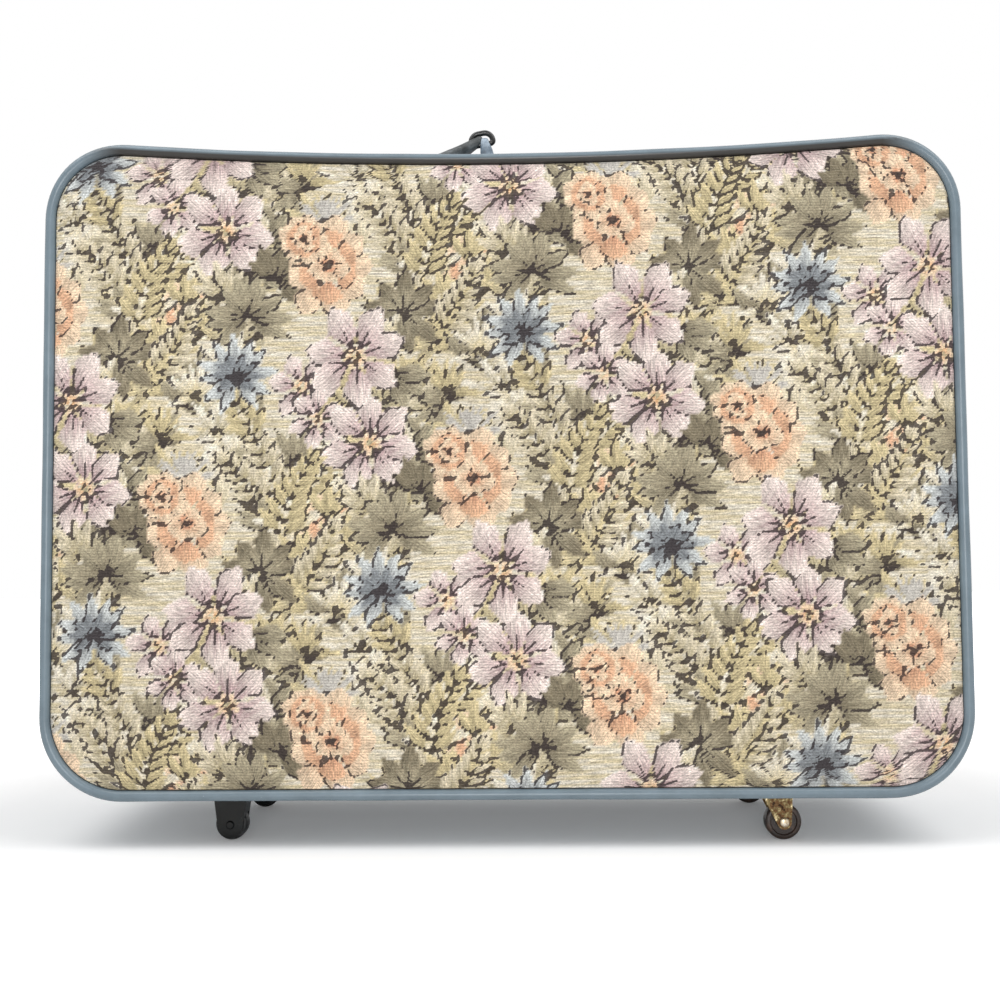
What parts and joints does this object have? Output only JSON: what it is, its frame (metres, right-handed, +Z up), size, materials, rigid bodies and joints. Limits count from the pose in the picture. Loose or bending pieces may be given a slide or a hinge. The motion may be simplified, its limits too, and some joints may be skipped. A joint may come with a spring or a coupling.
{
  "type": "rolling suitcase",
  "caption": "Soft-sided suitcase with woven floral faces, vinyl gusset and piping, zipped lid, carrying handle, fixed wheels and swivel casters.",
  "frame": {"origin": "on the floor below the middle of the case", "axes": "+X along the case's length, to the right seen from the front; +Y from the front face to the back; +Z up"},
  "size_m": [0.72, 0.2042, 0.5922],
  "materials": {
    "tapestry": "woven, floral in soft colours",
    "bloom_weft": "lilac and pink weft",
    "carnation_weft": "peach weft",
    "leaf_weft": "olive weft",
    "thistle_weft": "blue-grey weft",
    "gusset_vinyl": "grained vinyl on foam",
    "piping_vinyl": "smooth vinyl",
    "fibreboard": "raw pressed board",
    "plywood": "raw birch ply",
    "lining_cloth": "thin woven nylon",
    "webbing": "flat woven strap",
    "buckle_plastic": "moulded",
    "zip_teeth": "moulded coil on woven tape",
    "zip_metal": "nickel plated",
    "handle_vinyl": "dark grained vinyl",
    "tab_vinyl": "slate vinyl",
    "ring_black": "black enamel",
    "rivet_steel": "polished heads",
    "plated_steel": "antiqued brass plate, tarnished",
    "caster_tread": "dark brown moulded",
    "housing_black": "black moulded",
    "wheel_black": "black moulded"
  },
  "bodies": {
    "case": {"gusset": "gusset_vinyl", "hoop": "fibreboard", "base_board": "plywood", "body_lining": "lining_cloth", "back_board": "fibreboard", "back_panel": "tapestry", "back_piping": "piping_vinyl", "hinge_strip": "gusset_vinyl", "zip_half_body": "zip_teeth", "packing_strap_left": "webbing", "packing_strap_right": "webbing", "strap_buckle": "buckle_plastic", "handle_tab_right": "tab_vinyl", "handle_tab_left": "tab_vinyl", "handle_rivets": "rivet_steel", "caster_plate_front": "plated_steel", "caster_plate_back": "plated_steel", "caster_washer_front": "plated_steel", "caster_washer_back": "plated_steel", "caster_kingpin_front": "plated_steel", "caster_kingpin_back": "plated_steel", "caster_rivets": "plated_steel", "wheel_housing_front": "housing_black", "wheel_housing_back": "housing_black", "housing_rivets": "rivet_steel", "fixed_axle_front": "rivet_steel", "fixed_axle_back": "rivet_steel"},
    "lid": {"front_panel": "tapestry", "woven_blooms": "bloom_weft", "woven_carnations": "carnation_weft", "woven_leaves": "leaf_weft", "woven_thistles": "thistle_weft", "lid_board": "fibreboard", "lid_lining": "lining_cloth", "front_piping": "piping_vinyl", "lid_edge_strip": "gusset_vinyl", "zip_half_lid": "zip_teeth"},
    "handle": {"handle_grip": "handle_vinyl", "handle_ring_right": "ring_black", "handle_ring_left": "ring_black"},
    "zip_slider": {"zip_slider": "zip_metal"},
    "zip_pull": {"zip_pull": "zip_metal"},
    "caster_front": {"caster_fork_front": "plated_steel", "caster_axle_front": "plated_steel"},
    "caster_wheel_front": {"caster_wheel_front": "caster_tread"},
    "fixed_wheel_front": {"fixed_wheel_front": "wheel_black"},
    "caster_back": {"caster_fork_back": "plated_steel", "caster_axle_back": "plated_steel"},
    "caster_wheel_back": {"caster_wheel_back": "caster_tread"},
    "fixed_wheel_back": {"fixed_wheel_back": "wheel_black"}
  },
  "joints": [
    {"name": "lid_hinge", "type": "hinge", "parent": "case", "child": "lid", "pos_m": [0, -0.0965, 0.0405], "axis": [1, 0, 0], "range_deg": [0, 180]},
    {"name": "handle_swing", "type": "hinge", "parent": "case", "child": "handle", "pos_m": [-0.077, 0, 0.56672], "axis": [0.9832, 0, 0.1824], "range_deg": [-85, 85]},
    {"name": "zip_slide", "type": "slide", "parent": "case", "child": "zip_slider", "axis": [0, 0, 1], "range_m": [0, 0.34]},
    {"name": "pull_swing", "type": "hinge", "parent": "zip_slider", "child": "zip_pull", "pos_m": [0.3559, -0.086, 0.112], "axis": [0, -1, 0], "range_deg": [0, 165]},
    {"name": "caster_swivel_front", "type": "hinge", "parent": "case", "child": "caster_front", "pos_m": [0.209, -0.067, 0.03], "axis": [0, 0, 1], "continuous": true},
    {"name": "caster_roll_front", "type": "hinge", "parent": "caster_front", "child": "caster_wheel_front", "pos_m": [0.216, -0.067, 0.014], "axis": [0, 1, 0], "continuous": true},
    {"name": "fixed_roll_front", "type": "hinge", "parent": "case", "child": "fixed_wheel_front", "pos_m": [-0.216, -0.06, 0.0125], "axis": [0, 1, 0], "continuous": true},
    {"name": "caster_swivel_back", "type": "hinge", "parent": "case", "child": "caster_back", "pos_m": [0.209, 0.067, 0.03], "axis": [0, 0, 1], "continuous": true},
    {"name": "caster_roll_back", "type": "hinge", "parent": "caster_back", "child": "caster_wheel_back", "pos_m": [0.216, 0.067, 0.014], "axis": [0, 1, 0], "continuous": true},
    {"name": "fixed_roll_back", "type": "hinge", "parent": "case", "child": "fixed_wheel_back", "pos_m": [-0.216, 0.06, 0.0125], "axis": [0, 1, 0], "continuous": true}
  ]
}
